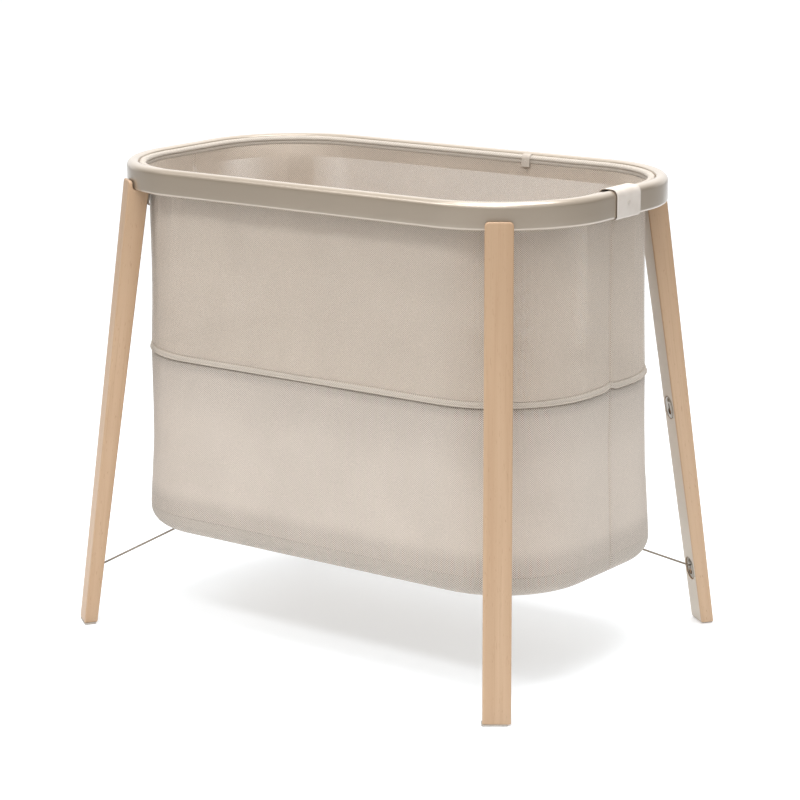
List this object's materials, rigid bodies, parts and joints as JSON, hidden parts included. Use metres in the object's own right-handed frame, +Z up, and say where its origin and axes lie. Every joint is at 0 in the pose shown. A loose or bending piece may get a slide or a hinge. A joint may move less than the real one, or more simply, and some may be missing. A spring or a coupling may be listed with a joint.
{
  "type": "bassinet on stand",
  "caption": "Freestanding oval bassinet: a mesh crib hung from a rounded metal rim on splayed tapered wooden legs, with a height-adjustable base held by corner cords.",
  "frame": {"origin": "on the floor under the middle of the crib", "axes": "+X along the crib towards the end with the rim strap, +Y to the rear, +Z up"},
  "size_m": [0.8989, 0.6464, 0.7704],
  "materials": {
    "beech": "pale beech, clear matt lacquer",
    "rim_metal": "satin taupe lacquer on a bent profile",
    "steel": "fine brushed",
    "dark_plastic": "fine matt texture",
    "grey_felt": "soft matt pad",
    "white_plastic": "plain moulded board",
    "mesh_fabric": "warm stone spacer mesh with small staggered holes",
    "strap_fabric": "smooth pale coated fabric",
    "mattress_cotton": "soft plain cotton",
    "foam": "open cell foam",
    "cord_textile": "thin braided cord"
  },
  "bodies": {
    "stand": {"rim": "rim_metal", "rim_joint_sleeve": "steel", "rim_strap": "strap_fabric", "strap_snap": "dark_plastic", "rim_hem": "mesh_fabric", "inner_tab": "strap_fabric", "tab_snap": "steel", "upper_mesh_wall": "mesh_fabric", "mid_seam_band": "mesh_fabric", "lower_mesh_wall": "mesh_fabric", "leg_front_right": "beech", "foot_glide_front_right": "grey_felt", "leg_bracket_front_right": "dark_plastic", "bracket_screw_front_right": "steel", "lower_keyhole_plate_front_right": "steel", "lower_plate_screw_front_right": "steel", "upper_keyhole_plate_front_right": "steel", "upper_plate_screw_front_right": "steel", "leg_front_left": "beech", "foot_glide_front_left": "grey_felt", "leg_bracket_front_left": "dark_plastic", "bracket_screw_front_left": "steel", "lower_keyhole_plate_front_left": "steel", "lower_plate_screw_front_left": "steel", "upper_keyhole_plate_front_left": "steel", "upper_plate_screw_front_left": "steel", "leg_rear_right": "beech", "foot_glide_rear_right": "grey_felt", "leg_bracket_rear_right": "dark_plastic", "bracket_screw_rear_right": "steel", "lower_keyhole_plate_rear_right": "steel", "lower_plate_screw_rear_right": "steel", "upper_keyhole_plate_rear_right": "steel", "upper_plate_screw_rear_right": "steel", "leg_rear_left": "beech", "foot_glide_rear_left": "grey_felt", "leg_bracket_rear_left": "dark_plastic", "bracket_screw_rear_left": "steel", "lower_keyhole_plate_rear_left": "steel", "lower_plate_screw_rear_left": "steel", "upper_keyhole_plate_rear_left": "steel", "upper_plate_screw_rear_left": "steel"},
    "base": {"base_tray": "mesh_fabric", "base_board": "white_plastic", "mattress_foam": "foam", "mattress_cover": "mattress_cotton", "cord_anchor_front_right": "dark_plastic", "cord_anchor_front_left": "dark_plastic", "cord_anchor_rear_right": "dark_plastic", "cord_anchor_rear_left": "dark_plastic", "cord_front_right": "cord_textile", "cord_front_left": "cord_textile", "cord_rear_right": "cord_textile", "cord_rear_left": "cord_textile"}
  },
  "joints": [
    {"name": "base_height", "type": "slide", "parent": "stand", "child": "base", "axis": [0, 0, 1], "range_m": [0, 0.25], "deforming": ["lower_mesh_wall", "cord_front_right", "cord_front_left", "cord_rear_right", "cord_rear_left"]}
  ]
}
